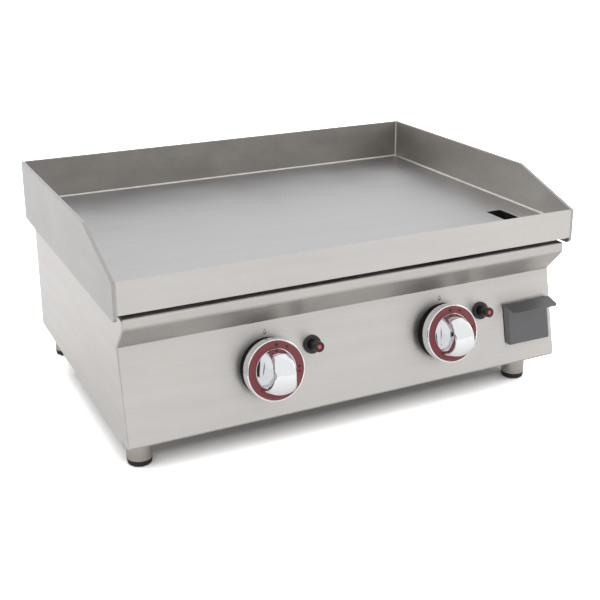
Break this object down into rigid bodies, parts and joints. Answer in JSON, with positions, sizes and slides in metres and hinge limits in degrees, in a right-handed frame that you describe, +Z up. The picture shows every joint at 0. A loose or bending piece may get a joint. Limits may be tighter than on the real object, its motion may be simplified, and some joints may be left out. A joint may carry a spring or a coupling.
{
  "type": "flat top griddle",
  "caption": "Counter-top gas griddle: flat steel plate inside a three-sided splash guard, leaning control panel with turning knobs, push igniters, grease drawer and screw feet.",
  "frame": {"origin": "on the counter plane under the centre of the overall bounding box, with the feet screwed right in", "axes": "+X to the cook's right along the wide side, +Y from the control panel towards the back, +Z up"},
  "size_m": [0.7, 0.5742, 0.327],
  "materials": {
    "brushed_stainless": "satin, fine brushed grain",
    "ground_plate_steel": "ground, matt grey",
    "drawer_steel": "dark, dull",
    "foot_stainless": "satin, turned",
    "chrome": "polished",
    "dial_red": "printed dark red, semi-matt",
    "insert_red": "semi-gloss",
    "black_plastic": "moulded, satin",
    "black_rubber": "matt",
    "brass": "dull",
    "ceramic": "smooth glaze"
  },
  "bodies": {
    "griddle": {"splash_guard_back": "brushed_stainless", "splash_guard_left": "brushed_stainless", "splash_guard_right": "brushed_stainless", "front_lip": "brushed_stainless", "drain_chute": "brushed_stainless", "front_panel": "brushed_stainless", "side_panel_left": "brushed_stainless", "side_panel_right": "brushed_stainless", "rear_panel": "brushed_stainless", "base_pan": "brushed_stainless", "heat_shield": "brushed_stainless", "gas_manifold": "brushed_stainless", "burner_left": "brushed_stainless", "burner_right": "brushed_stainless", "burner_rail_front": "brushed_stainless", "burner_rail_rear": "brushed_stainless", "drawer_guide_left": "brushed_stainless", "drawer_guide_right": "brushed_stainless", "griddle_plate": "ground_plate_steel", "piezo_igniter_left": "black_plastic", "piezo_igniter_right": "black_plastic", "igniter_nut_left": "black_plastic", "igniter_nut_right": "black_plastic", "knob_bezel_left": "black_plastic", "knob_bezel_right": "black_plastic", "ignition_cable_left": "black_rubber", "ignition_cable_right": "black_rubber", "gas_inlet_pipe": "brass", "gas_inlet_nut": "brass", "gas_tap_left": "brass", "gas_tap_right": "brass", "injector_left": "brass", "injector_right": "brass", "thermocouple_left": "brass", "thermocouple_right": "brass", "spark_electrode_left": "ceramic", "spark_electrode_right": "ceramic"},
    "left_tap_plunger": {"tap_plunger_left": "brass"},
    "left_knob": {"knob_left": "chrome", "knob_dial_left": "dial_red", "tap_spindle_left": "brushed_stainless"},
    "left_igniter_button": {"igniter_button_left": "black_plastic", "igniter_insert_left": "insert_red"},
    "right_tap_plunger": {"tap_plunger_right": "brass"},
    "right_knob": {"knob_right": "chrome", "knob_dial_right": "dial_red", "tap_spindle_right": "brushed_stainless"},
    "right_igniter_button": {"igniter_button_right": "black_plastic", "igniter_insert_right": "insert_red"},
    "grease_drawer": {"grease_drawer": "drawer_steel", "drawer_front": "drawer_steel"},
    "front_left_sole": {"foot_sole_front_left": "black_rubber"},
    "front_left_sleeve": {"foot_sleeve_front_left": "foot_stainless"},
    "front_right_sole": {"foot_sole_front_right": "black_rubber"},
    "front_right_sleeve": {"foot_sleeve_front_right": "foot_stainless"},
    "rear_left_sole": {"foot_sole_rear_left": "black_rubber"},
    "rear_left_sleeve": {"foot_sleeve_rear_left": "foot_stainless"},
    "rear_right_sole": {"foot_sole_rear_right": "black_rubber"},
    "rear_right_sleeve": {"foot_sleeve_rear_right": "foot_stainless"}
  },
  "joints": [
    {"name": "left_knob_push", "type": "slide", "parent": "griddle", "child": "left_tap_plunger", "axis": [0, 0.9783, -0.2074], "range_m": [0, 0.004], "stiffness_N_per_m": 1200, "springref_m": -0.003},
    {"name": "left_knob_turn", "type": "hinge", "parent": "left_tap_plunger", "child": "left_knob", "pos_m": [-0.1355, -0.22736, 0.12241], "axis": [0, -0.9783, 0.2074], "range_deg": [0, 150]},
    {"name": "left_igniter_press", "type": "slide", "parent": "griddle", "child": "left_igniter_button", "axis": [0, 0.9783, -0.2074], "range_m": [0, 0.006], "stiffness_N_per_m": 1500, "springref_m": -0.003},
    {"name": "right_knob_push", "type": "slide", "parent": "griddle", "child": "right_tap_plunger", "axis": [0, 0.9783, -0.2074], "range_m": [0, 0.004], "stiffness_N_per_m": 1200, "springref_m": -0.003},
    {"name": "right_knob_turn", "type": "hinge", "parent": "right_tap_plunger", "child": "right_knob", "pos_m": [0.1425, -0.22736, 0.12241], "axis": [0, -0.9783, 0.2074], "range_deg": [0, 150]},
    {"name": "right_igniter_press", "type": "slide", "parent": "griddle", "child": "right_igniter_button", "axis": [0, 0.9783, -0.2074], "range_m": [0, 0.006], "stiffness_N_per_m": 1500, "springref_m": -0.003},
    {"name": "drawer_slide", "type": "slide", "parent": "griddle", "child": "grease_drawer", "axis": [0, -1, 0], "range_m": [0, 0.24]},
    {"name": "front_left_foot_height", "type": "slide", "parent": "griddle", "child": "front_left_sole", "axis": [0, 0, -1], "range_m": [0, 0.012]},
    {"name": "front_left_foot_turn", "type": "hinge", "parent": "front_left_sole", "child": "front_left_sleeve", "pos_m": [-0.3078, -0.184, 0.03], "axis": [0, 0, -1], "range_deg": [0, 2880]},
    {"name": "front_right_foot_height", "type": "slide", "parent": "griddle", "child": "front_right_sole", "axis": [0, 0, -1], "range_m": [0, 0.012]},
    {"name": "front_right_foot_turn", "type": "hinge", "parent": "front_right_sole", "child": "front_right_sleeve", "pos_m": [0.3078, -0.184, 0.03], "axis": [0, 0, -1], "range_deg": [0, 2880]},
    {"name": "rear_left_foot_height", "type": "slide", "parent": "griddle", "child": "rear_left_sole", "axis": [0, 0, -1], "range_m": [0, 0.012]},
    {"name": "rear_left_foot_turn", "type": "hinge", "parent": "rear_left_sole", "child": "rear_left_sleeve", "pos_m": [-0.3078, 0.2165, 0.03], "axis": [0, 0, -1], "range_deg": [0, 2880]},
    {"name": "rear_right_foot_height", "type": "slide", "parent": "griddle", "child": "rear_right_sole", "axis": [0, 0, -1], "range_m": [0, 0.012]},
    {"name": "rear_right_foot_turn", "type": "hinge", "parent": "rear_right_sole", "child": "rear_right_sleeve", "pos_m": [0.3078, 0.2165, 0.03], "axis": [0, 0, -1], "range_deg": [0, 2880]}
  ],
  "couplings": [
    {"joint": "front_left_foot_height", "follows": "front_left_foot_turn", "m_per_rad": 0.00023873},
    {"joint": "front_right_foot_height", "follows": "front_right_foot_turn", "m_per_rad": 0.00023873},
    {"joint": "rear_left_foot_height", "follows": "rear_left_foot_turn", "m_per_rad": 0.00023873},
    {"joint": "rear_right_foot_height", "follows": "rear_right_foot_turn", "m_per_rad": 0.00023873}
  ]
}
